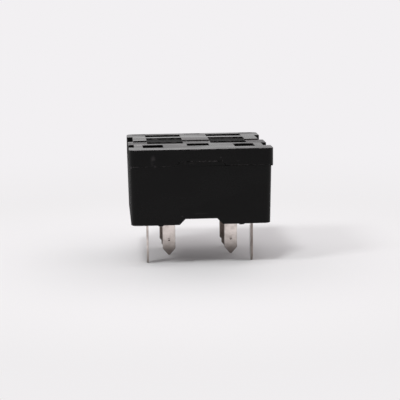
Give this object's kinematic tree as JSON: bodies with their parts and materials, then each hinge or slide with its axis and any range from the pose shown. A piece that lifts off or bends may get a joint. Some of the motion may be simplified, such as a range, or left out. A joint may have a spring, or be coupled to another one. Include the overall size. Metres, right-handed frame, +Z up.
{
  "type": "relay socket",
  "caption": "Plug-in relay socket for a printed circuit board: black two-part moulding with blade slots and tinned pointed legs.",
  "frame": {"origin": "on the plane that the leg tips stand on, at the middle of the housing in plan (the small orientation rib left out)", "axes": "+Z up, from the leg tips to the deck that takes the relay; +X to the right and +Y to the rear, with the two coil slots at the front"},
  "size_m": [0.029, 0.026, 0.0244],
  "materials": {
    "housing_plastic": "satin moulded black thermoplastic",
    "tinned_brass": "satin tin plate over stamped brass"
  },
  "bodies": {
    "root": {"base": "housing_plastic", "cover": "housing_plastic", "coil_contact_left": "tinned_brass", "coil_contact_right": "tinned_brass", "load_contact_front_left": "tinned_brass", "load_contact_front_right": "tinned_brass", "load_contact_rear_left": "tinned_brass", "load_contact_rear_right": "tinned_brass"}
  },
  "joints": []
}
